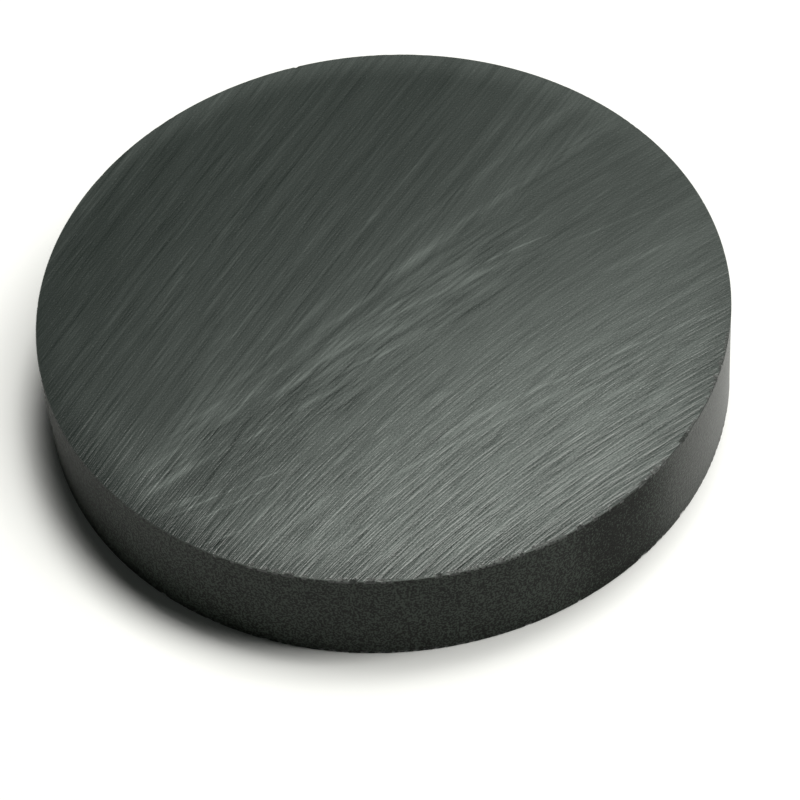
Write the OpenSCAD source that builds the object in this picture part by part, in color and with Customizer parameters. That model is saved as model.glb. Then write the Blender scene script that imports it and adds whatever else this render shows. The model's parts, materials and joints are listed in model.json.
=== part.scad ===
// Ceramic disc magnet: one disc of hard ferrite, pressed, sintered and then
// ground flat on both faces. The wall is left as it came from the kiln.
// The origin is the centre of the bottom face, and +Z points up. Millimetres.

/* [Disc] */
// Diameter of the disc
disc_d = 38.1; // [20:0.1:80]
// Thickness between the two ground faces
disc_t = 6.35; // [4:0.05:15]
// Narrow break that the grinding leaves along both rims
edge_break = 0.04; // [0.02:0.01:0.2]

/* [Chips] */
// Longest chip, measured along the rim
chip_long = 0.6; // [0.5:0.05:1.5]
// Shortest chip, measured along the rim
chip_short = 0.25; // [0.2:0.05:0.5]
// Depth of a chip as a share of its length
chip_depth = 0.24; // [0.2:0.01:0.35]
// Chips spread all round the top rim
top_chips = 3; // [0:1:30]
// Further chips where the top rim has been knocked
top_knock_chips = 16; // [0:1:30]
// Chips spread all round the bottom rim
bottom_chips = 6; // [0:1:30]
// Further chips where the bottom rim has been knocked
bottom_knock_chips = 5; // [0:1:30]

/* [Knocked stretch] */
// Where the knocked stretch of rim starts, in degrees from +X
knock_from = -112; // [-180:1:180]
// Where the knocked stretch of rim ends, in degrees from +X
knock_to = -37; // [-180:1:180]

/* [Hidden] */

disc_r = disc_d / 2;
wall_facets = 180;
chip_facets = 48;

// Turning by the golden angle spreads points evenly round a circle, and
// stepping by the golden ratio's fraction spreads values evenly from 0 to 1.
golden_angle = 137.508;
golden_step = 0.618034;

// A chip leans towards the face or down the wall by up to this much, in degrees.
chip_lean_spread = 22;

ferrite_grey = [0.33, 0.35, 0.335];

// An evenly spread value from 0 to 1 for the given chip.
function share(i, start) =
    let (x = i * golden_step + start) x - floor(x);

// Most chips are short and a few are long, so the share is squared.
function chip_length(i, start) =
    chip_short + (chip_long - chip_short) * pow(share(i, start), 2);

// The angle, from the horizontal, at which a chip bites into the rim.
function chip_lean(i, start) =
    45 + chip_lean_spread * (2 * share(3 * i, start) - 1);

// The disc as ground, with its two narrow edge breaks.
module ground_blank() {
    rotate_extrude($fn = wall_facets)
        polygon([
            [0, 0],
            [disc_r - edge_break, 0],
            [disc_r, edge_break],
            [disc_r, disc_t - edge_break],
            [disc_r - edge_break, disc_t],
            [0, disc_t],
        ]);
}

// One shell-shaped chip out of the top rim, as a ball that cuts the corner to
// the given length along the rim.
module rim_chip(turn, length, lean) {
    bite = chip_depth * length;
    ball_r = (pow(length / 2, 2) + pow(bite, 2)) / (2 * bite);
    reach = ball_r - bite;
    rotate([0, 0, turn])
        translate([disc_r + reach * cos(lean), 0, disc_t + reach * sin(lean)])
            sphere(r = ball_r, $fn = chip_facets);
}

// Chips all round a rim, each a golden angle on from the last.
module spread_chips(count, start) {
    for (i = [0:1:count - 1])
        rim_chip(360 * start + i * golden_angle, chip_length(i, start), chip_lean(i, start));
}

// Chips side by side along the knocked stretch, each shifted a little from its
// even place.
module knocked_chips(count, start) {
    pitch = (knock_to - knock_from) / count;
    for (i = [0:1:count - 1])
        rim_chip(
            knock_from + pitch * (i + share(i, start)),
            chip_length(i, start),
            chip_lean(i, start)
        );
}

module top_rim_chips() {
    spread_chips(top_chips, 0.9);
    knocked_chips(top_knock_chips, 0.68);
}

// The bottom rim is chipped in the same way as the top one, seen upside down.
module bottom_rim_chips() {
    translate([0, 0, disc_t])
        mirror([0, 0, 1]) {
            spread_chips(bottom_chips, 0.72);
            knocked_chips(bottom_knock_chips, 0.5);
        }
}

module ferrite_disc() {
    color(ferrite_grey)
        difference() {
            ground_blank();
            top_rim_chips();
            bottom_rim_chips();
        }
}

ferrite_disc();
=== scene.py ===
"""A ceramic disc magnet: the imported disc, dressed with two ground faces, a
sintered wall and rims that are chipped where the solid is."""

import json
import math

import bpy
from mathutils import Matrix, Vector

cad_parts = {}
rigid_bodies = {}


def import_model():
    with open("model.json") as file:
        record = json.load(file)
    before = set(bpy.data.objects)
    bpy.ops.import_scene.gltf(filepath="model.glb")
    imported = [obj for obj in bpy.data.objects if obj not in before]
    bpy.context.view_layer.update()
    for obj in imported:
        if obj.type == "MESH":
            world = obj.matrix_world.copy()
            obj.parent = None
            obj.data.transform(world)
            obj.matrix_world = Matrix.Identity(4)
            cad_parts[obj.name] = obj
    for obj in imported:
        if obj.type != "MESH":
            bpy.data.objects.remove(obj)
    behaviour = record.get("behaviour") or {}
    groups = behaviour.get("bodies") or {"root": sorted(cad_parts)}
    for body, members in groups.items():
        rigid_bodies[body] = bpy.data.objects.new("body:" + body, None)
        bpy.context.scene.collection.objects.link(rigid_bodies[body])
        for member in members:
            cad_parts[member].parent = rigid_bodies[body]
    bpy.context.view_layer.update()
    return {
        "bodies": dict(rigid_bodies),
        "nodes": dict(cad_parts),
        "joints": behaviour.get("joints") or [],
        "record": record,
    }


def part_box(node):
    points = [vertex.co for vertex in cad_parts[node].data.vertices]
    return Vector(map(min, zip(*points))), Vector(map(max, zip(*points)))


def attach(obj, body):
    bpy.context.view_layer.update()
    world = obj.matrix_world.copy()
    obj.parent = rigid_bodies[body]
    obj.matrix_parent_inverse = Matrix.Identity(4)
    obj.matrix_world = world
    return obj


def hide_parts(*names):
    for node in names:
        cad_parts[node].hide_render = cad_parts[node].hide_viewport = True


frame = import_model()

# ---------------------------------------------------------------- sizes
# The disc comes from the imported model, and every other size follows from it.
NODE = "ferrite_disc"
MM = 0.001
DISC_LOW, DISC_HIGH = (Vector(corner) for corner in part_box(NODE))
RADIUS = (DISC_HIGH.x - DISC_LOW.x) / 2
THICKNESS = DISC_HIGH.z - DISC_LOW.z
CENTRE = (DISC_LOW + DISC_HIGH) / 2

# The skin's rows run from the middle of the wall, over the rim and in to the
# axis, and the same again below.
COLUMNS = 1800
WALL_ROWS = 13
RIM_ROWS_BELOW_BREAK = 4
RIM_ROWS_ON_BREAK = 2
RIM_ROWS_ABOVE_BREAK = 5
RIM_ROWS = RIM_ROWS_BELOW_BREAK + RIM_ROWS_ON_BREAK + RIM_ROWS_ABOVE_BREAK
FACE_ROWS = 2
RIM_REACH = 0.5 * MM
EDGE_BREAK = 0.04 * MM

# What lies less deep than this is a flat of the solid's wall, and not a chip.
FACET_SLACK = 0.012 * MM

# The ragged rim between the chips, and the granular wall.
RAG_DEPTH = 0.08 * MM
RAG_SIZE = 0.28 * MM
GRAIN_DEPTH = 0.008 * MM
GRAIN_SIZE = 0.22 * MM

# The middle of the knocked stretch of the rim, from +X towards +Y.
KNOCKED_AZIMUTH = -70

# Edges that fold by more than this stay sharp.
SHARP_FOLD = math.radians(28)
WELD_DISTANCE = 1e-7


# ---------------------------------------------------------------- node trees
class Value:
    """What one socket gives, used in ordinary arithmetic."""

    def __init__(self, graph, socket):
        self.graph = graph
        self.socket = socket

    def sibling(self, output):
        """Another output of the same node."""
        return Value(self.graph, self.socket.node.outputs[output])

    def __add__(self, other):
        return self.graph.math("ADD", self, other)

    def __radd__(self, other):
        return self.graph.math("ADD", other, self)

    def __sub__(self, other):
        return self.graph.math("SUBTRACT", self, other)

    def __rsub__(self, other):
        return self.graph.math("SUBTRACT", other, self)

    def __mul__(self, other):
        return self.graph.math("MULTIPLY", self, other)

    def __rmul__(self, other):
        return self.graph.math("MULTIPLY", other, self)

    def __truediv__(self, other):
        return self.graph.math("DIVIDE", self, other)

    def __rtruediv__(self, other):
        return self.graph.math("DIVIDE", other, self)

    def __pow__(self, other):
        return self.graph.math("POWER", self, other)

    def __neg__(self):
        return self.graph.math("MULTIPLY", self, -1.0)

    def __abs__(self):
        return self.graph.math("ABSOLUTE", self)

    def __gt__(self, other):
        return self.graph.math("GREATER_THAN", self, other)

    def __lt__(self, other):
        return self.graph.math("LESS_THAN", self, other)


class Graph:
    """Adds nodes to a shader tree or a geometry tree."""

    def __init__(self, tree):
        self.tree = tree

    def add(self, kind, settings=None, sockets=None, output=0):
        """A node of any kind: its settings first, then what its sockets get."""
        node = self.tree.nodes.new(kind)
        for name, setting in (settings or {}).items():
            setattr(node, name, setting)
        for key, given in (sockets or {}).items():
            if isinstance(given, Value):
                self.tree.links.new(given.socket, node.inputs[key])
            else:
                node.inputs[key].default_value = given
        return Value(self, node.outputs[output]) if node.outputs else None

    def math(self, operation, *values):
        sockets = dict(enumerate(values))
        return self.add("ShaderNodeMath", {"operation": operation}, sockets)

    def vector(self, x, y, z):
        return self.add("ShaderNodeCombineXYZ", None, {"X": x, "Y": y, "Z": z})

    def parts(self, vector):
        """The X, Y and Z of a vector."""
        x = self.add("ShaderNodeSeparateXYZ", None, {"Vector": vector})
        return x, x.sibling("Y"), x.sibling("Z")

    def vector_math(self, operation, *vectors, output="Vector"):
        sockets = dict(enumerate(vectors))
        return self.add("ShaderNodeVectorMath", {"operation": operation}, sockets, output)

    def stretch(self, vector, factor):
        return self.add(
            "ShaderNodeVectorMath",
            {"operation": "SCALE"},
            {0: vector, "Scale": factor},
            "Vector",
        )

    def clamp(self, value, low=0.0, high=1.0):
        return self.math("MINIMUM", self.math("MAXIMUM", value, low), high)

    def smooth(self, value, low, high):
        """0 up to low, 1 from high on, and a smooth step between them."""
        return self.add(
            "ShaderNodeMapRange",
            {"interpolation_type": "SMOOTHSTEP"},
            {"Value": value, "From Min": low, "From Max": high},
        )

    def noise(self, vector, detail=0.0, roughness=0.5, dimensions="3D"):
        """Noise about 0.5, with cells of size 1 in the vector's units."""
        return self.add(
            "ShaderNodeTexNoise",
            {"noise_dimensions": dimensions},
            {"Vector": vector, "Scale": 1.0, "Detail": detail, "Roughness": roughness},
        )

    def flat_noise(self, vector, detail=0.0, roughness=0.5):
        """The same over a vector's X and Y alone."""
        return self.noise(vector, detail, roughness, "2D")

    def mix_colour(self, share, first, second):
        """The first colour where share is 0, the second where it is 1."""
        return self.add(
            "ShaderNodeMix",
            {"data_type": "RGBA"},
            {0: share, 6: first, 7: second},
            2,
        )


# ---------------------------------------------------------------- the disc's skin
SKIN_INPUTS = {
    "Solid": "NodeSocketObject",
    "Radius": "NodeSocketFloat",
    "Thickness": "NodeSocketFloat",
    "Edge break": "NodeSocketFloat",
    "Rim reach": "NodeSocketFloat",
    "Facet slack": "NodeSocketFloat",
    "Columns": "NodeSocketInt",
    "Wall rows": "NodeSocketInt",
    "Rag depth": "NodeSocketFloat",
    "Rag size": "NodeSocketFloat",
    "Knocked side": "NodeSocketVector",
    "Grain depth": "NodeSocketFloat",
    "Grain size": "NodeSocketFloat",
    "Top face": "NodeSocketMaterial",
    "Bottom face": "NodeSocketMaterial",
    "Wall": "NodeSocketMaterial",
    "Edge": "NodeSocketMaterial",
}


# A ray's rise or run is never less than this.
NEARLY_LEVEL = 1e-4


def skin_section(graph, size, row):
    """The foot, direction and length of the ray that meets the disc's section at
    this row, for a section with sharp breaks and no chips.

    The foot lies inside the disc, as deep as the rim reach. The ray points out
    through the wall, swings over the rim and then points up."""
    steps = abs(row)
    side = graph.math("SIGN", row)
    reach = size("Rim reach")
    break_angle = graph.math("ARCTAN2", reach - size("Edge break"), reach)
    climbed = graph.clamp(steps / size("Wall rows"))
    step = steps - size("Wall rows")
    below = graph.clamp(step / RIM_ROWS_BELOW_BREAK)
    on = graph.clamp((step - RIM_ROWS_BELOW_BREAK) / RIM_ROWS_ON_BREAK)
    above = graph.clamp((step - RIM_ROWS_BELOW_BREAK - RIM_ROWS_ON_BREAK) / RIM_ROWS_ABOVE_BREAK)
    swing = break_angle * (below + above) + (math.pi / 2 - 2 * break_angle) * on
    inwards = graph.clamp((step - RIM_ROWS) / FACE_ROWS)

    out = graph.math("COSINE", swing)
    up = graph.math("SINE", swing)
    foot_r = (size("Radius") - reach) * (1 - inwards)
    foot_z = (size("Thickness") / 2 - reach) * climbed
    to_wall = reach / graph.math("MAXIMUM", out, NEARLY_LEVEL)
    to_face = reach / graph.math("MAXIMUM", up, NEARLY_LEVEL)
    to_break = (2 * reach - size("Edge break")) / (out + up)
    length = graph.math("MINIMUM", graph.math("MINIMUM", to_wall, to_face), to_break)
    return foot_r, foot_z * side, out, up * side, length


# Chips count in full from this many times the slack.
SLACK_FADE = 2.5


def chip_depth(graph, size, foot, heading, length):
    """How far the solid's own surface lies below the plain section: the chips."""
    margin = size("Rim reach") / 2
    start = graph.vector_math("ADD", foot, graph.stretch(heading, length + margin))
    solid = graph.add(
        "GeometryNodeObjectInfo",
        {"transform_space": "RELATIVE"},
        {"Object": size("Solid")},
        "Geometry",
    )
    struck = graph.add(
        "GeometryNodeRaycast",
        None,
        {
            "Target Geometry": solid,
            "Source Position": start,
            "Ray Direction": graph.stretch(heading, -1.0),
            "Ray Length": length + margin,
        },
        "Hit Distance",
    )
    depth = (struck - margin) * struck.sibling("Is Hit")
    slack = size("Facet slack")
    return graph.clamp(depth, 0.0, 1.0) * graph.smooth(depth, slack, SLACK_FADE * slack)


# Patches of raggedness are this share as fine as the rags in them.
PATCH_FINENESS = 0.12
# A rag lies this near to the rim, as a share of the rim reach.
RAG_REACH = 1 / 2.5
# Raggedness away from the knocked side, as a share of that on it.
QUIET_RAGS = 0.15
# Where the noise is torn, and where the rim faces the knocked side.
TORN_GRAINS = (0.45, 0.70)
TORN_PATCHES = (0.35, 0.60)
KNOCKED_FACING = (0.35, 0.85)


def rag_depth(graph, size, place, from_corner):
    """The fine raggedness of the rim between the chips, most of it on the side
    that has been knocked."""
    grains = graph.noise(graph.stretch(place, 1 / size("Rag size")), detail=1.0)
    patches = graph.noise(graph.stretch(place, PATCH_FINENESS / size("Rag size")), detail=1.0)
    near = graph.clamp(1 - from_corner / size("Rim reach") / RAG_REACH)
    facing = graph.vector_math("DOT_PRODUCT", place, size("Knocked side"), output="Value")
    knocked = graph.smooth(facing / size("Radius"), *KNOCKED_FACING)
    torn = graph.smooth(grains, *TORN_GRAINS) * graph.smooth(patches, *TORN_PATCHES)
    return size("Rag depth") * near * torn * (QUIET_RAGS + (1 - QUIET_RAGS) * knocked)


# Detail and roughness of the noise behind grains.
GRAIN_NOISE = (2.0, 0.7)
# The wall's slow waves are this share as fine as its grains.
WAVE_FINENESS = 0.1


def grain_depth(graph, size, place, row):
    """The granular surface of the wall, which fades out on the ground faces."""
    grains = graph.noise(graph.stretch(place, 1 / size("Grain size")), *GRAIN_NOISE)
    waves = graph.noise(graph.stretch(place, WAVE_FINENESS / size("Grain size")), detail=1.0)
    step = abs(row) - size("Wall rows")
    on_wall = graph.clamp((RIM_ROWS_BELOW_BREAK - step) / RIM_ROWS_BELOW_BREAK)
    return size("Grain depth") * on_wall * (grains + waves)


# The layout for baking: the middle and the half-width of each face's disc, the
# share of it that the rim's rows take, and the strips of the wall.
TOP_DISC = (0.31, 0.69, 0.30)
BOTTOM_DISC = (0.81, 0.81, 0.175)
RIM_SHARE = 0.05
WALL_STRIPS = 4
STRIP_MARGIN = 0.01
STRIP_LENGTH = 0.98
STRIP_PITCH = 0.09
STRIP_WIDTH = 0.08


def bake_layout(graph, size, turn, row):
    """A flat layout of the skin: the top face large, the bottom face smaller, and
    the wall in four quarter turns."""
    steps = abs(row)
    last = size("Wall rows") + RIM_ROWS_BELOW_BREAK
    whole = graph.math("ADD", size("Wall rows"), RIM_ROWS + FACE_ROWS)
    row_of_face = graph.add(
        "GeometryNodeFieldOnDomain", {"domain": "FACE"}, {"Value": row}, "Value"
    )
    turn_of_face = graph.add(
        "GeometryNodeFieldOnDomain", {"domain": "FACE"}, {"Value": turn}, "Value"
    )
    on_wall = abs(row_of_face) < last
    on_top = row_of_face > 0.0

    face_rows_end = size("Wall rows") + RIM_ROWS
    rim_part = graph.clamp((face_rows_end - steps) / (RIM_ROWS_ABOVE_BREAK + RIM_ROWS_ON_BREAK))
    inner_part = graph.clamp((whole - steps) / FACE_ROWS)
    spoke = inner_part * (1 - RIM_SHARE) + rim_part * RIM_SHARE
    angle = turn * math.tau
    middle_x, middle_y, half_width = (
        bottom + (top - bottom) * on_top for top, bottom in zip(TOP_DISC, BOTTOM_DISC)
    )
    face_u = middle_x + half_width * spoke * graph.math("COSINE", angle)
    face_v = middle_y + half_width * spoke * graph.math("SINE", angle)

    strip = graph.math("FLOOR", turn_of_face * WALL_STRIPS)
    along = turn * WALL_STRIPS - strip
    across = (row / last + 1) / 2
    wall_u = STRIP_MARGIN + STRIP_LENGTH * along
    wall_v = STRIP_MARGIN + STRIP_PITCH * strip + STRIP_WIDTH * across
    u = wall_u * on_wall + face_u * (1 - on_wall)
    v = wall_v * on_wall + face_v * (1 - on_wall)
    return graph.vector(u, v, 0.0)


def skin_sheet(graph, size):
    """A grid with a column for each step round the disc and a row for each step
    over its section, and the turn, row and angle of each point."""
    rows = (size("Wall rows") + RIM_ROWS + FACE_ROWS) * 2
    sheet = graph.add(
        "GeometryNodeMeshGrid",
        None,
        {
            "Size X": 1.0,
            "Size Y": 1.0,
            "Vertices X": size("Columns") + 1,
            "Vertices Y": rows + 1,
        },
    )
    x, y, _ = graph.parts(graph.add("GeometryNodeInputPosition"))
    turn = x + 0.5
    row = graph.math("ROUND", y * rows)
    column = graph.math("ROUND", turn * size("Columns"))
    angle = graph.math("FLOORED_MODULO", column, size("Columns")) * (math.tau / size("Columns"))
    return sheet, turn, row, angle


def store(graph, geometry, name, value, kind="FLOAT", domain="POINT"):
    return graph.add(
        "GeometryNodeStoreNamedAttribute",
        {"data_type": kind, "domain": domain},
        {"Geometry": geometry, "Name": name, "Value": value},
    )


def named(graph, name):
    return graph.add("GeometryNodeInputNamedAttribute", {"data_type": "FLOAT"}, {"Name": name})


def wrapped_sheet(graph, size):
    """The sheet, wrapped round the disc: out to the plain section, and back in by
    the chips, the rags and the grain."""
    sheet, turn, row, angle = skin_sheet(graph, size)
    cosine = graph.math("COSINE", angle)
    sine = graph.math("SINE", angle)
    foot_r, foot_z, out, up, length = skin_section(graph, size, row)
    foot = graph.vector(foot_r * cosine, foot_r * sine, foot_z + size("Thickness") / 2)
    heading = graph.vector(out * cosine, out * sine, up)
    plain = graph.vector_math("ADD", foot, graph.stretch(heading, length))

    section_r = foot_r + out * length
    section_z = abs(foot_z + up * length)
    from_corner = graph.math(
        "SQRT",
        (size("Radius") - section_r) ** 2 + (size("Thickness") / 2 - section_z) ** 2,
    )
    chips = chip_depth(graph, size, foot, heading, length)
    rags = rag_depth(graph, size, plain, from_corner)
    broken = graph.math("MAXIMUM", chips, rags)
    grain = grain_depth(graph, size, plain, row)
    place = graph.vector_math("ADD", foot, graph.stretch(heading, length - broken - grain))

    skin = store(graph, sheet, "row", row)
    skin = store(graph, skin, "broken", broken)
    skin = store(graph, skin, "OFBake", bake_layout(graph, size, turn, row), "FLOAT2", "CORNER")
    skin = graph.add("GeometryNodeSetPosition", None, {"Geometry": skin, "Position": place})
    return graph.add(
        "GeometryNodeMergeByDistance", None, {"Geometry": skin, "Distance": WELD_DISTANCE}
    )


def smoothed(graph, skin):
    """Smooth shading, but for the sharp folds of the chips."""
    skin = graph.add(
        "GeometryNodeSetShadeSmooth", {"domain": "FACE"}, {"Geometry": skin, "Shade Smooth": True}
    )
    fold = graph.add("GeometryNodeInputMeshEdgeAngle")
    return graph.add(
        "GeometryNodeSetShadeSmooth",
        {"domain": "EDGE"},
        {"Geometry": skin, "Selection": fold > SHARP_FOLD, "Shade Smooth": False},
    )


# A place counts as chipped once it lies deeper than this part of the edge break.
CHIPPED_SHARE = 1 / 8


def finished(graph, size, skin):
    """The wall's finish, over it those of the faces, and over them the rim's."""
    row = named(graph, "row")
    broken = named(graph, "broken")
    wall_end = size("Wall rows") + RIM_ROWS_BELOW_BREAK
    face_start = wall_end + RIM_ROWS_ON_BREAK
    on_break = (abs(row) > wall_end) * (abs(row) < face_start)
    for finish, where in (
        ("Wall", None),
        ("Top face", row > face_start),
        ("Bottom face", row < -face_start),
        ("Edge", on_break + (broken > size("Edge break") * CHIPPED_SHARE)),
    ):
        sockets = {"Geometry": skin, "Material": size(finish)}
        if where is not None:
            sockets["Selection"] = where
        skin = graph.add("GeometryNodeSetMaterial", None, sockets)
    return skin


def skin_tree():
    """The geometry tree that wraps the disc in a fine skin."""
    tree = bpy.data.node_groups.new("disc_skin", "GeometryNodeTree")
    for name, kind in SKIN_INPUTS.items():
        tree.interface.new_socket(name=name, in_out="INPUT", socket_type=kind)
    tree.interface.new_socket(name="Skin", in_out="OUTPUT", socket_type="NodeSocketGeometry")
    graph = Graph(tree)
    size = graph.add("NodeGroupInput").sibling
    skin = smoothed(graph, wrapped_sheet(graph, size))
    skin = graph.add("GeometryNodeRealizeInstances", None, {"Geometry": skin})
    skin = finished(graph, size, skin)
    graph.add("NodeGroupOutput", None, {"Skin": skin})
    return tree


def direction(azimuth, elevation):
    """A unit vector: azimuth from +X towards +Y, elevation from the floor."""
    a = math.radians(azimuth)
    e = math.radians(elevation)
    return Vector((math.cos(a) * math.cos(e), math.sin(a) * math.cos(e), math.sin(e)))


def make_disc(finishes):
    """The dressed disc, as one plain mesh at the origin."""
    mesh = bpy.data.meshes.new("disc_skin")
    disc = bpy.data.objects.new("disc_skin", mesh)
    bpy.context.scene.collection.objects.link(disc)
    modifier = disc.modifiers.new("skin", "NODES")
    modifier.node_group = skin_tree()
    inputs = {
        "Solid": frame["nodes"][NODE],
        "Radius": RADIUS,
        "Thickness": THICKNESS,
        "Edge break": EDGE_BREAK,
        "Rim reach": RIM_REACH,
        "Facet slack": FACET_SLACK,
        "Columns": COLUMNS,
        "Wall rows": WALL_ROWS,
        "Rag depth": RAG_DEPTH,
        "Rag size": RAG_SIZE,
        "Knocked side": direction(KNOCKED_AZIMUTH, 0),
        "Grain depth": GRAIN_DEPTH,
        "Grain size": GRAIN_SIZE,
        **finishes,
    }
    for item in modifier.node_group.interface.items_tree:
        if item.in_out == "INPUT":
            modifier[item.identifier] = inputs[item.name]
    graph = bpy.context.evaluated_depsgraph_get()
    dressed = bpy.data.meshes.new_from_object(
        disc.evaluated_get(graph), preserve_all_data_layers=True, depsgraph=graph
    )
    disc.modifiers.remove(modifier)
    disc.data = dressed
    return disc


# ---------------------------------------------------------------- finishes
def new_material(name):
    material = bpy.data.materials.new(name)
    material.use_nodes = True
    material.node_tree.nodes.clear()
    return material, Graph(material.node_tree)


def finish_material(graph, colour, roughness, normal, specular):
    shader = graph.add(
        "ShaderNodeBsdfPrincipled",
        None,
        {
            "Base Color": colour,
            "Roughness": roughness,
            "Normal": normal,
            "Specular IOR Level": specular,
        },
    )
    graph.add("ShaderNodeOutputMaterial", None, {"Surface": shader})


def object_mm(graph):
    """Object coordinates in millimetres."""
    place = graph.add("ShaderNodeTexCoord", None, None, "Object")
    return graph.stretch(place, 1 / MM)


def bump(graph, height, depth_mm):
    """A relief whose height runs from 0 to 1 over the given depth."""
    sockets = {"Height": height, "Distance": depth_mm * MM, "Strength": 1.0}
    return graph.add("ShaderNodeBump", None, sockets)


FERRITE_DARK = (0.0045, 0.0088, 0.0070, 1.0)
FERRITE_LIGHT = (0.1220, 0.1390, 0.1310, 1.0)
EDGE_DARK = (0.0260, 0.0290, 0.0270, 1.0)
EDGE_LIGHT = (0.1300, 0.1450, 0.1350, 1.0)
WALL_DARK = (0.0020, 0.0022, 0.0014, 1.0)
WALL_LIGHT = (0.0370, 0.0470, 0.0380, 1.0)
FLOOR_WHITE = (0.85, 0.85, 0.85, 1.0)
FLOOR_ROUGHNESS = 0.9


# ---------------------------------------------------------------- ground faces
# Sizes on the faces are in millimetres, and headings run from +X towards +Y.
FACE_MM = 19.05

# The two passes of grinding: the heading of the marks at the middle of the face,
# and the wheel's radius.
FINE_PASS = (55.0, 40 * FACE_MM)
COARSE_PASS = (43.0, 4.75 * FACE_MM)
BRANCH_HEADING = 34.0

# The coarse pass lies below a wavering line, the crease.
CREASE_SLOPE = 0.787
CREASE_HEIGHT = 0.4
CREASE_WAVER = 3.0
CREASE_WAVE_LENGTH = 4.0
CREASE_FADE = 1.3
COARSE_COVER = 0.8

# Marks of a pass: length, width, detail and roughness.
FINE_BANDS = (16.0, 0.42, 2.0, 0.5)
COARSE_BANDS = (14.0, 0.6, 1.0, 0.5)
FINE_LINES = (5.0, 0.17, 2.0, 0.65)
COARSE_LINES = (3.5, 0.17, 2.0, 0.65)
BRANCHES = (4.0, 0.24, 1.0, 0.6)
MARK_SHIFT = 7.3
TOP_SEED = 0.0
BOTTOM_SEED = 60.0

# Marks are faint at the back and deep at the front, deeper still along the lower
# left rim, and calmer beside it. Each fades in from and to, along X or Y or along
# a lean of the two.
FRONT_LEAN = 0.3
FRONT_FADE = (0.0, 23.0)
CORNER_DEPTH = 0.22
CORNER_LEAN = (-0.85, -0.53)
CORNER_RIM = (14.2, 17.0)
CORNER_FRONT = (-3.0, -8.0)
CALM_DEPTH = 0.2
CALM_SIDE = (-2.0, -11.0)
CALM_FRONT = (-9.0, -14.0)

# The fan of marks lies below the crease, about the middle of the face.
FAN_DROP = 2.6
FAN_HALF_WIDTH = (3.2, 1.2)
FAN_HALF_LENGTH = (13.0, 5.0)

# How far each kind of mark lightens or darkens the ferrite. Lines and grain show
# by the first share everywhere, by the second where marks are deep, which towards
# the front right also stands for painted glints, and by the third in the fan.
FINE_BAND_SHADE = 0.6
COARSE_BAND_SHADE = 0.4
LINE_SHADE = 1.5
GRAIN_SHADE = 0.9
LINE_SHARES = (0.34, 0.84, 0.14)
HAIR_SHADE = 0.24
DARK_HAIRS = 0.7
HAIR_LINES = (0.11, 0.21)
HAIR_LEAN = 0.3
HAIR_SIDE = (8.0, -6.0)
SPECK_SHADE = 0.12
SPECKS = (0.80, 0.88)
LEAST_SHADE = 0.12
STROKE_LINES = 4.0
STROKE_BRANCHES = 3.0
STROKE_TAPER = 1.2

# The relief of the lines, at the back and further towards the front, and of the
# grain, as shares of its depth.
LINE_RELIEF = (0.275, 1.375)
GRAIN_RELIEF = 0.15
RELIEF_MM = 0.03

GRAIN_MM = 0.10
SPECK_MM = 0.16
FACE_ROUGHNESS = 0.35
FACE_SPECULAR = 0.4

# The tone before the rows below are added, and its limits.
BASE_TONE = -0.49
LEAST_TONE = 0.03
MOST_TONE = 1.2

# Painted light and shade along the rim of a face, lighter at the back and darker
# at the front: its change, and how that grows along X and Y.
RIM_START = 16.88
RIM_LIGHT_AND_SHADE = (-0.045, -0.002, 0.014)

# Light and dark over a face. On the top face this is painted sheen: lighter
# towards the front and right where the glossy highlight falls, darker at the upper
# left. A row adds its amount from one line across the face to another: amount,
# azimuth of the lighter side, from, to, in millimetres.
TOP_SHEEN_TONES = (
    (0.64, 36, -34.0, 6.0),
    (0.62, -108, -13.0, 26.0),
    (0.12, -53, 4.0, 9.0),
    (0.13, -27, -4.0, 5.0),
)
BOTTOM_TONES = ((0.9, 127, -40.0, 40.0),)

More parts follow.
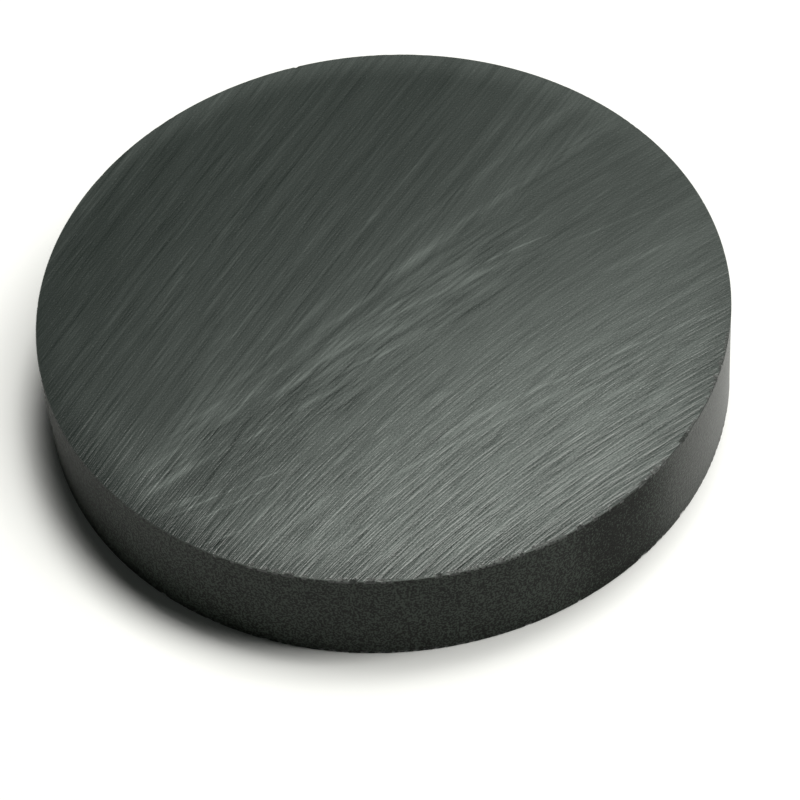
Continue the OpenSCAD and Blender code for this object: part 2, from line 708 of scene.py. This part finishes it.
# Single marks: from x, from y, to x, to y, sag of the arc and half-width, all in
# millimetres, and strength.
# The fan of marks that spreads from the lower left to the upper right.
FAN_ROWS = (
    (-4.0, -2.5, 5.0, 5.0, 0.00, 1.50, 0.10),
    (-6.5, -4.8, 2.6, 3.4, 0.10, 0.40, 0.31),
    (0.0, 1.2, 8.5, 8.0, 0.10, 0.50, 0.24),
    (6.0, 6.2, 14.0, 12.0, 0.10, 0.92, 0.12),
    (9.8, 9.0, 14.2, 11.8, 0.00, 0.20, 0.13),
    (10.5, 9.8, 14.4, 12.5, 0.00, 0.20, 0.11),
    (-10.5, -9.3, -5.6, -3.9, 0.10, 0.32, 0.39),
    (-6.3, -6.3, -3.0, -3.3, 0.05, 0.32, 0.42),
    (-3.6, -3.7, 1.6, 0.2, 0.10, 0.34, 0.30),
    (-0.4, -1.5, 3.4, 0.3, 0.00, 0.21, 0.32),
    (-3.6, -3.9, 3.2, -0.6, 0.15, 0.36, 0.32),
    (-1.9, -4.5, 1.6, -2.9, 0.00, 0.20, 0.28),
    (1.0, -3.0, 4.2, -1.3, 0.00, 0.19, 0.19),
    (-6.0, -7.7, -2.6, -5.8, 0.05, 0.31, 0.32),
    (-8.4, -9.2, -5.8, -7.9, 0.05, 0.31, 0.30),
    (-14.0, -12.6, -9.0, -9.4, 0.20, 0.34, 0.46),
    (-8.5, -5.4, -2.4, 1.1, 0.00, 0.31, 0.30),
    (-3.2, 0.3, 2.6, 5.6, 0.00, 0.33, 0.20),
    (2.0, 5.2, 8.6, 10.8, 0.00, 0.38, 0.17),
    (7.8, 10.4, 12.8, 14.2, 0.00, 0.56, 0.20),
    (-4.0, -3.1, 0.4, 0.7, 0.05, 0.34, -0.32),
    (-0.4, 0.1, 4.4, 3.9, 0.10, 0.24, -0.29),
    (3.4, 3.0, 7.0, 5.6, 0.00, 0.19, -0.24),
    (6.4, 5.9, 13.8, 10.9, 0.10, 0.22, -0.19),
    (-8.6, -5.6, -5.2, -2.4, 0.00, 0.30, -0.27),
    (-5.2, -2.5, -3.4, -1.0, 0.00, 0.20, -0.14),
    (-6.4, -5.6, -5.2, -4.1, 0.00, 0.18, -0.26),
    (-5.8, -7.3, -3.4, -3.9, 0.00, 0.18, -0.32),
    (-10.6, -12.5, -8.2, -8.6, 0.00, 0.12, -0.42),
    (-8.8, -9.4, -7.4, -7.2, 0.00, 0.19, -0.34),
    (-0.6, -3.3, 3.4, -1.2, 0.00, 0.21, -0.24),
    (-2.4, -4.4, -0.8, -3.1, 0.00, 0.18, -0.22),
    (-0.4, -1.9, 1.8, -0.8, 0.00, 0.13, -0.22),
    (2.0, 5.6, 8.0, 11.8, 0.00, 0.48, -0.07),
    (8.0, 9.4, 12.6, 13.0, 0.00, 0.36, -0.12),
)
# Marks above the fan.
UPPER_ROWS = (
    (-10.6, -4.3, -6.6, 0.7, 0.00, 0.29, 0.22),
    (-7.0, 0.2, -3.2, 4.8, 0.00, 0.20, 0.14),
    (-8.3, -3.8, -3.6, 1.8, 0.00, 0.20, 0.15),
    (-5.6, 2.0, -1.2, 8.0, 0.00, 0.27, 0.17),
    (-3.2, 2.2, 0.2, 7.0, 0.00, 0.32, 0.17),
    (-0.4, 5.8, 0.4, 6.8, 0.00, 0.27, 0.16),
    (-12.4, 1.0, -7.6, 7.6, 0.00, 0.20, 0.17),
    (-14.4, 3.6, -11.4, 8.4, 0.00, 0.23, 0.17),
    (-14.6, -2.4, -12.0, 1.0, 0.00, 0.23, 0.17),
    (-14.2, 0.5, -12.2, 3.0, 0.00, 0.20, 0.15),
    (-0.6, 5.6, 4.6, 12.4, 0.10, 0.23, 0.17),
    (-0.6, 8.8, 3.8, 14.2, 0.00, 0.20, 0.14),
    (1.8, 6.0, 8.6, 13.6, 0.00, 0.22, 0.13),
    (-12.4, -9.9, -8.2, -5.2, 0.00, 0.34, 0.24),
    (-12.6, -11.2, -8.8, -7.4, 0.00, 0.22, 0.19),
    (-14.4, -9.4, -12.6, -7.4, 0.00, 0.63, 0.10),
    (-6.4, -0.2, -4.2, 3.2, 0.00, 0.18, -0.22),
    (-4.7, -0.1, -2.6, 2.4, 0.00, 0.20, -0.19),
    (-2.6, -0.2, -0.9, 1.9, 0.00, 0.20, -0.17),
    (-10.8, -3.6, -8.6, 0.1, 0.00, 0.20, -0.22),
    (-13.9, -2.4, -11.0, 2.2, 0.00, 0.18, -0.19),
    (-8.8, 4.9, -6.4, 8.4, 0.00, 0.29, -0.17),
    (-12.9, -8.1, -10.6, -4.6, 0.00, 0.22, -0.24),
    (-12.6, -12.3, -10.2, -10.9, 0.00, 0.50, -0.26),
)
# Marks at the right.
RIGHT_ROWS = (
    (5.2, 1.9, 9.8, 3.9, 0.05, 0.09, 0.50),
    (4.6, 1.0, 10.2, 3.1, 0.05, 0.19, 0.19),
    (10.6, 3.1, 15.6, 5.2, 0.00, 0.12, 0.38),
    (10.2, 4.0, 13.2, 6.9, 0.00, 0.15, 0.23),
    (11.6, 6.9, 16.2, 9.6, 0.00, 0.23, 0.20),
    (12.0, 0.5, 16.5, 2.6, 0.00, 0.27, 0.20),
    (4.7, 1.5, 7.6, 2.7, 0.00, 0.17, -0.20),
    (6.4, 3.0, 7.4, 3.7, 0.00, 0.19, -0.16),
)
# Marks at the front.
FRONT_ROWS = (
    (2.4, -10.1, 4.8, -8.5, 0.00, 0.27, 0.61),
    (4.0, -9.0, 9.8, -6.4, 0.12, 0.17, 0.46),
    (9.0, -6.8, 13.6, -4.6, 0.00, 0.20, 0.55),
    (13.0, -4.9, 18.4, -2.7, 0.00, 0.20, 0.36),
    (-0.8, -12.5, 5.0, -9.6, 0.05, 0.13, 0.46),
    (4.4, -9.9, 13.4, -5.6, 0.10, 0.13, 0.42),
    (8.4, -8.7, 11.2, -7.2, 0.00, 0.20, 0.52),
    (11.2, -8.2, 14.0, -7.2, 0.00, 0.32, 0.24),
    (5.2, -5.9, 7.4, -4.0, 0.00, 0.10, 0.36),
    (1.6, -6.4, 3.6, -4.9, 0.00, 0.26, 0.24),
    (8.4, -11.4, 11.4, -9.8, 0.00, 0.16, 0.32),
    (2.0, -8.6, 5.6, -5.7, 0.00, 0.14, 0.26),
    (11.8, -3.5, 14.6, -2.2, 0.00, 0.16, 0.26),
    (1.5, -7.3, 3.4, -6.1, 0.00, 0.38, -0.14),
    (1.8, -12.2, 4.8, -10.6, 0.00, 0.38, -0.14),
    (6.0, -9.6, 9.2, -8.1, 0.00, 0.38, -0.14),
    (9.6, -7.4, 13.4, -5.9, 0.00, 0.15, -0.26),
    (9.6, -11.1, 14.2, -8.8, 0.00, 0.19, -0.16),
)
# Pale patches, and the scratches at the lower left.
CORNER_ROWS = (
    (-15.5, -13.5, -7.0, -3.5, 0.00, 2.20, 0.34),
    (-6.0, -6.5, 7.0, 3.5, 0.00, 2.60, 0.14),
    (-12.0, -14.5, -7.0, -12.0, 0.00, 1.60, 0.10),
    (-13.4, -13.6, -10.4, -12.4, 0.00, 0.22, 0.83),
    (-13.4, -13.2, -9.4, -12.1, 0.05, 0.09, 0.49),
    (-12.2, -13.7, -5.8, -11.1, 0.12, 0.09, 0.64),
    (-12.2, -14.8, -5.6, -11.8, 0.10, 0.09, 0.73),
    (-10.9, -15.8, -8.4, -14.9, 0.00, 0.09, 0.65),
    (-13.0, -14.0, -9.4, -12.9, 0.00, 0.09, -0.33),
    (-10.2, -15.8, -8.8, -15.3, 0.00, 0.20, -0.31),
    (-7.6, -14.4, -6.0, -13.3, 0.00, 0.36, 0.30),
    (-7.4, -16.0, -3.6, -13.2, 0.00, 0.27, 0.31),
    (-6.2, -17.0, -2.8, -14.4, 0.00, 0.23, 0.31),
    (-6.4, -15.9, -3.6, -14.0, 0.00, 0.20, -0.24),
    (-14.6, -11.6, -11.0, -8.8, 0.00, 0.27, 0.28),
)
TOP_ROWS = FAN_ROWS + UPPER_ROWS + RIGHT_ROWS + FRONT_ROWS + CORNER_ROWS


def wheel_frame(graph, x, y, heading, wheel):
    """Along and across the marks of a grinding wheel: arcs of the wheel's radius,
    repeated along Y, that cross the middle of the face at the given heading."""
    sine = math.sin(math.radians(heading))
    cosine = math.cos(math.radians(heading))
    slope = sine - x / wheel
    rise = graph.math("SQRT", 1 - slope * slope)
    along = graph.math("ARCSINE", slope) * -wheel
    across = (y + wheel * (cosine - rise)) * cosine
    return along, across


def towards(x, y, azimuth):
    """How far a point lies towards an azimuth."""
    return x * math.cos(math.radians(azimuth)) + y * math.sin(math.radians(azimuth))


def straight_frame(x, y, heading):
    """Along and across straight marks at a heading."""
    return towards(x, y, heading), towards(x, y, heading + 90)


def marks(graph, frame, kind, number):
    """Noise drawn out along the marks: 0 on average."""
    along, across = frame
    length, width, detail, roughness = kind
    place = graph.vector(along / length + MARK_SHIFT * number, across / width, 0.0)
    return graph.flat_noise(place, detail, roughness) - 0.5


STROKE_TERMS = 8


def stroke_terms(from_x, from_y, to_x, to_y, sag, half_width, strength):
    """The numbers that place one stroke: for the way along it from its middle,
    for the way to its side, for its bend, and its strength."""
    length = math.hypot(to_x - from_x, to_y - from_y)
    cosine = (to_x - from_x) / length
    sine = (to_y - from_y) / length
    middle_x = (from_x + to_x) / 2
    middle_y = (from_y + to_y) / 2
    reach = STROKE_TAPER * length / 2
    return (
        cosine / reach,
        sine / reach,
        -(middle_x * cosine + middle_y * sine) / reach,
        -sine / half_width,
        cosine / half_width,
        (middle_x * sine - middle_y * cosine - sag) / half_width,
        sag * STROKE_TAPER ** 2 / half_width,
        strength,
    )


def strokes(graph, x, y, rows):
    """The sum of shallow arcs, worked out three at a time in the X, Y and Z of
    vectors. Each is strongest in its middle and tapers to its sides and ends."""
    all_x = graph.vector(x, x, x)
    all_y = graph.vector(y, y, y)
    one = graph.vector(1.0, 1.0, 1.0)
    none = graph.vector(0.0, 0.0, 0.0)
    total = 0.0
    for first in range(0, len(rows), 3):
        terms = [stroke_terms(*row) for row in rows[first:first + 3]]
        terms += [(0.0,) * STROKE_TERMS] * (3 - len(terms))
        along_x, along_y, along_0, side_x, side_y, side_0, bend, strengths = zip(*terms)
        along = graph.vector_math("MULTIPLY_ADD", all_y, along_y, along_0)
        along = graph.vector_math("MULTIPLY_ADD", all_x, along_x, along)
        from_middle = graph.vector_math("MULTIPLY", along, along)
        side = graph.vector_math("MULTIPLY_ADD", all_y, side_y, side_0)
        side = graph.vector_math("MULTIPLY_ADD", all_x, side_x, side)
        side = graph.vector_math("MULTIPLY_ADD", from_middle, bend, side)
        ends = graph.vector_math("MULTIPLY", from_middle, from_middle)
        oval = graph.vector_math("MULTIPLY_ADD", side, side, ends)
        body = graph.vector_math("SUBTRACT", one, oval)
        body = graph.vector_math("MAXIMUM", body, none)
        body = graph.vector_math("MULTIPLY", body, body)
        total = graph.vector_math("DOT_PRODUCT", body, strengths, output="Value") + total
    return total


def two_passes(graph, place, x, y):
    """How far a point lies above the crease, and the share of the coarse pass."""
    crease = (y - CREASE_SLOPE * x - CREASE_HEIGHT) / math.hypot(1.0, CREASE_SLOPE)
    waves = graph.flat_noise(graph.stretch(place, 1 / CREASE_WAVE_LENGTH)) - 0.5
    coarse = graph.smooth(crease + waves * CREASE_WAVER, CREASE_FADE, -CREASE_FADE)
    return crease, coarse


def mark_depth(graph, x, y):
    """How deep the marks are: up to 1 at the front."""
    lean_x, lean_y = CORNER_LEAN
    front = graph.smooth(x * FRONT_LEAN - y, *FRONT_FADE)
    corner = graph.smooth(x * lean_x + y * lean_y, *CORNER_RIM)
    corner = corner * graph.smooth(y, *CORNER_FRONT)
    calm = graph.smooth(x, *CALM_SIDE) * graph.smooth(y, *CALM_FRONT)
    return front + corner * CORNER_DEPTH - calm * CALM_DEPTH


def grinding_marks(graph, x, y, coarse, seed):
    """The broad bands and the fine lines of both passes."""
    fine_pass = wheel_frame(graph, x, y, *FINE_PASS)
    coarse_pass = wheel_frame(graph, x, y, *COARSE_PASS)
    fine = 1 - coarse * COARSE_COVER
    bands = marks(graph, fine_pass, FINE_BANDS, seed + 2) * fine * FINE_BAND_SHADE
    coarse_bands = marks(graph, coarse_pass, COARSE_BANDS, seed + 12)
    bands = bands + coarse_bands * coarse * COARSE_BAND_SHADE
    lines = marks(graph, fine_pass, FINE_LINES, seed + 3) * fine
    coarse_lines = marks(graph, coarse_pass, COARSE_LINES, seed + 13)
    lines = lines + coarse_lines * (coarse * COARSE_COVER + 1 - COARSE_COVER)
    return bands, lines


def crossing_marks(graph, x, y, crease, lines, rows, seed):
    """Branches where the passes meet, the single strokes, and where the branches
    lie."""
    branches = marks(graph, straight_frame(x, y, BRANCH_HEADING), BRANCHES, seed + 5)
    in_fan = graph.smooth(abs(crease + FAN_DROP), *FAN_HALF_WIDTH)
    in_fan = in_fan * graph.smooth(abs(x), *FAN_HALF_LENGTH)
    crossed = branches * in_fan
    if rows:
        grooves = 1.0 + lines * STROKE_LINES + branches * STROKE_BRANCHES
        crossed = crossed + strokes(graph, x, y, rows) * grooves
    return crossed, in_fan


def hair_lines(graph, x, y, lines):
    """The strongest lines, light and dark, which stand out on the left."""
    least, most = HAIR_LINES
    light = graph.smooth(lines, least, most)
    dark = graph.smooth(lines, -least, -most)
    return (light - dark * DARK_HAIRS) * graph.smooth(x + y * HAIR_LEAN, *HAIR_SIDE)


def painted_sheen_tone(graph, x, y, tones):
    """The slow light and dark over a face, painted sheen on the top face, and painted
    light and shade along its rim.
    """
    tone = BASE_TONE
    for amount, azimuth, first, last in tones:
        tone = tone + graph.smooth(towards(x, y, azimuth), first, last) * amount
    # Painted rim light and shade: lighter towards the back, darker towards the front.
    change, along_x, along_y = RIM_LIGHT_AND_SHADE
    near_rim = graph.smooth(x * x + y * y, RIM_START ** 2, FACE_MM ** 2)
    rim = near_rim * (y * along_y + x * along_x + change)
    return graph.clamp(tone + rim, LEAST_TONE, MOST_TONE)


def ground_face(name, seed, tones, rows):
    """A face ground in two passes of a wheel, with marks that cross both."""
    material, graph = new_material(name)
    place = object_mm(graph)
    x, y, _ = graph.parts(place)
    crease, coarse = two_passes(graph, place, x, y)
    depth = mark_depth(graph, x, y)
    bands, lines = grinding_marks(graph, x, y, coarse, seed)
    crossed, in_fan = crossing_marks(graph, x, y, crease, lines, rows, seed)
    hairs = hair_lines(graph, x, y, lines)
    grain = graph.flat_noise(graph.stretch(place, 1 / GRAIN_MM)) - 0.5
    specks = graph.smooth(graph.flat_noise(graph.stretch(place, 1 / SPECK_MM)), *SPECKS)

    line_height = LINE_RELIEF[0] + LINE_RELIEF[1] * depth
    relief = bump(graph, lines * line_height + grain * GRAIN_RELIEF, RELIEF_MM)
    # Lines show more where marks are deep: partly deeper marks, partly painted glints.
    everywhere, deep_and_glinting, fan = LINE_SHARES
    contrast = everywhere + deep_and_glinting * depth + fan * in_fan
    shade = bands + crossed + (lines * LINE_SHADE + grain * GRAIN_SHADE) * contrast
    shade = shade + hairs * HAIR_SHADE
    # The slow tone is painted sheen on the top face, with painted rim light and shade.
    tone = painted_sheen_tone(graph, x, y, tones)
    tone = tone + (tone + LEAST_SHADE) * shade + specks * SPECK_SHADE
    colour = graph.mix_colour(graph.clamp(tone), FERRITE_DARK, FERRITE_LIGHT)
    finish_material(graph, colour, FACE_ROUGHNESS, relief, FACE_SPECULAR)
    return material


# ---------------------------------------------------------------- wall and rim
# The wall's grains and clots: size in the plane, size upwards, detail, roughness,
# and how far they lighten or darken it.
WALL_GRAINS = (0.10, 0.12, 0.0, 0.5, 9.0)
WALL_COARSE = (0.20, 0.24, 1.0, 0.6, 4.0)
WALL_CLOTS = (0.45, 0.45, 1.0, 0.5, 0.5)
WALL_PATCH_MM = 3.0
WALL_SPECULAR = 0.1
WALL_RELIEF_MM = 0.02

# The wall is smoother on its right, with painted shade at the front right and
# painted shade on its left: from and to, in millimetres along X or Y.
SMOOTH_SIDE = (12.2, 16.2)
SHADE_PATCH_MIDDLE = 11.4
SHADE_PATCH_EDGE = (3.6, 0.8)
SHADE_PATCH_FRONT = (-10.0, -12.0)
SHADED_SIDE = (-12.0, -18.5)

# The wall's tone and roughness, and what changes them.
WALL_TONE = 0.35
PATCH_TONE = 0.3
# Painted shade at the front right and on the left of the wall.
SHADE_PATCH_TONE = -0.23
SHADED_TONE = -0.17
SMOOTH_CONTRAST = -0.5
WALL_ROUGHNESS = 0.5
SMOOTH_ROUGHNESS = -0.18
SHADED_ROUGHNESS = 0.10
SHADE_PATCH_ROUGHNESS = 0.12

# The rim: how near to it the break lies, how light that is, and where painted
# shade darkens it at the front left and right.
BREAK_MM = (0.12, 0.06)
BREAK_LIGHT = 0.6
PAINTED_BREAK_SHADE = -0.5
BREAK_SHADE_SIDES = (6.0, 13.0)
BREAK_SHADE_FRONT = (2.0, -4.0)
EDGE_GRAIN_MM = 0.1
# Chip grains this light show bright: partly grain colour, partly painted glints.
BRIGHT_GRAINS_AND_GLINTS = (0.55, 0.8)
EDGE_RELIEF_MM = 0.03
EDGE_ROUGHNESS = 0.45
EDGE_SPECULAR = 0.4


def wall_grains(graph, x, y, z, kind):
    """Grains of one size, 0 on average, and how far they shade the wall."""
    across, upwards, detail, roughness, shade = kind
    place = graph.vector(x / across, y / across, z / upwards)
    return graph.noise(place, detail, roughness) - 0.5, shade


def sintered_wall():
    """The wall as it left the kiln: dark and granular, smoother on the side that has not
    been knocked, with painted shade at the front right and on its left."""
    material, graph = new_material("sintered_wall")
    place = object_mm(graph)
    x, y, z = graph.parts(place)
    grains, grain_shade = wall_grains(graph, x, y, z, WALL_GRAINS)
    coarse, coarse_shade = wall_grains(graph, x, y, z, WALL_COARSE)
    clots, clot_shade = wall_grains(graph, x, y, z, WALL_CLOTS)
    patches = graph.noise(graph.stretch(place, 1 / WALL_PATCH_MM), detail=1.0) - 0.5
    smoother = graph.smooth(x, *SMOOTH_SIDE)
    shade_patch = graph.smooth(abs(x - SHADE_PATCH_MIDDLE), *SHADE_PATCH_EDGE) * graph.smooth(y, *SHADE_PATCH_FRONT)
    shaded = graph.smooth(x, *SHADED_SIDE)

    speckle = grains * grain_shade + coarse * coarse_shade + clots * clot_shade
    # The patch at the front right and the left side darken the tone: painted shade.
    tone = WALL_TONE + patches * PATCH_TONE + shade_patch * SHADE_PATCH_TONE + shaded * SHADED_TONE
    tone = tone * graph.math("EXPONENT", speckle * (1 + smoother * SMOOTH_CONTRAST))
    colour = graph.mix_colour(graph.clamp(tone), WALL_DARK, WALL_LIGHT)
    roughness = WALL_ROUGHNESS + smoother * SMOOTH_ROUGHNESS
    roughness = roughness + shaded * SHADED_ROUGHNESS + shade_patch * SHADE_PATCH_ROUGHNESS
    relief = bump(graph, grains, WALL_RELIEF_MM)
    finish_material(graph, colour, roughness, relief, WALL_SPECULAR)
    return material


def chipped_edge():
    """The rim: light along the break, darkened by painted shade to the sides of the
    front, and dark in the chips with bright grains that are partly painted glints."""
    material, graph = new_material("chipped_edge")
    place = object_mm(graph)
    x, y, z = graph.parts(place)
    from_wall = FACE_MM - graph.math("SQRT", x * x + y * y)
    on_break = graph.smooth(from_wall + abs(THICKNESS / MM - z), *BREAK_MM)
    break_shade = graph.smooth(abs(x), *BREAK_SHADE_SIDES) * graph.smooth(y, *BREAK_SHADE_FRONT)
    grain = graph.noise(graph.stretch(place, 1 / EDGE_GRAIN_MM), *GRAIN_NOISE)
    # Bright grains in the chips: partly grain colour, partly painted glints.
    broken = graph.mix_colour(graph.smooth(grain, *BRIGHT_GRAINS_AND_GLINTS), EDGE_DARK, EDGE_LIGHT)
    # Painted shade darkens the break at the sides of the front.
    colour = graph.mix_colour(on_break * (BREAK_LIGHT + break_shade * PAINTED_BREAK_SHADE), broken, EDGE_LIGHT)
    relief = bump(graph, grain, EDGE_RELIEF_MM)
    finish_material(graph, colour, EDGE_ROUGHNESS, relief, EDGE_SPECULAR)
    return material


def plain_white():
    """The floor's matt white."""
    material, graph = new_material("studio_white")
    shader = graph.add(
        "ShaderNodeBsdfPrincipled",
        None,
        {"Base Color": FLOOR_WHITE, "Roughness": FLOOR_ROUGHNESS, "Specular IOR Level": 0.0},
    )
    graph.add("ShaderNodeOutputMaterial", None, {"Surface": shader})
    return material


# ---------------------------------------------------------------- studio
# Lengths in the studio are in disc radii, and angles in degrees.
FLOOR_REACH = 60

# Each lamp: name, azimuth, elevation, width, height, watts.
LAMPS = (
    ("right", -7, 64, 6.6, 15.2, 2.07),
    ("back", 54, 75, 9.3, 10.3, 2.48),
)
LAMP_DISTANCE = 30
LAMP_COLOUR = (1.0, 1.0, 0.955)
WORLD_COLOUR = (0.9, 1.0, 0.92, 1.0)
WORLD_STRENGTH = 0.036

CAMERA_ELEVATION = 50.5
CAMERA_ROLL = -5.12
CAMERA_DISTANCE = 9.740
CAMERA_AIM = (0.0260, -0.3723)
LENS_MM = 156.2
SENSOR_MM = 36.0


def make_floor():
    size = FLOOR_REACH * RADIUS
    mesh = bpy.data.meshes.new("floor")
    corners = [(-size, -size, 0), (size, -size, 0), (size, size, 0), (-size, size, 0)]
    mesh.from_pydata(corners, [], [(0, 1, 2, 3)])
    mesh.materials.append(plain_white())
    floor = bpy.data.objects.new("floor", mesh)
    bpy.context.scene.collection.objects.link(floor)


def soft_light(name, azimuth, elevation, width, height, watts):
    """A soft box that faces the disc."""
    lamp = bpy.data.lights.new(name, "AREA")
    lamp.shape = "RECTANGLE"
    lamp.size = width * RADIUS
    lamp.size_y = height * RADIUS
    lamp.energy = watts
    lamp.color = LAMP_COLOUR
    light = bpy.data.objects.new(name, lamp)
    heading = direction(azimuth, elevation)
    light.matrix_world = (
        Matrix.Translation(CENTRE + heading * LAMP_DISTANCE * RADIUS)
        @ heading.to_track_quat("Z", "Y").to_matrix().to_4x4()
    )
    bpy.context.scene.collection.objects.link(light)


def make_world():
    world = bpy.data.worlds.new("studio")
    world.use_nodes = True
    background = world.node_tree.nodes["Background"]
    background.inputs["Color"].default_value = WORLD_COLOUR
    background.inputs["Strength"].default_value = WORLD_STRENGTH
    bpy.context.scene.world = world


def make_camera():
    """Looks along +Y and down at the top face, slightly rolled."""
    elevation = math.radians(CAMERA_ELEVATION)
    roll = math.radians(CAMERA_ROLL)
    distance = CAMERA_DISTANCE * RADIUS
    aim = Vector((CAMERA_AIM[0] * RADIUS, CAMERA_AIM[1] * RADIUS, THICKNESS))
    lens = bpy.data.cameras.new("camera")
    lens.sensor_width = SENSOR_MM
    lens.lens = LENS_MM
    lens.clip_start = MM
    camera = bpy.data.objects.new("camera", lens)
    back = Vector((0, -math.cos(elevation), math.sin(elevation)))
    camera.matrix_world = (
        Matrix.Translation(aim + back * distance)
        @ Matrix.Rotation(math.pi / 2 - elevation, 4, "X")
        @ Matrix.Rotation(roll, 4, "Z")
    )
    bpy.context.scene.collection.objects.link(camera)
    bpy.context.scene.camera = camera


# ---------------------------------------------------------------- the scene
make_camera()
make_floor()
make_world()
for lamp in LAMPS:
    soft_light(*lamp)
bpy.context.scene.view_settings.view_transform = "Standard"

disc = make_disc(
    {
        "Top face": ground_face("ground_top", TOP_SEED, TOP_SHEEN_TONES, TOP_ROWS),
        "Bottom face": ground_face("ground_bottom", BOTTOM_SEED, BOTTOM_TONES, ()),
        "Wall": sintered_wall(),
        "Edge": chipped_edge(),
    }
)
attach(disc, "root")
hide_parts(NODE)
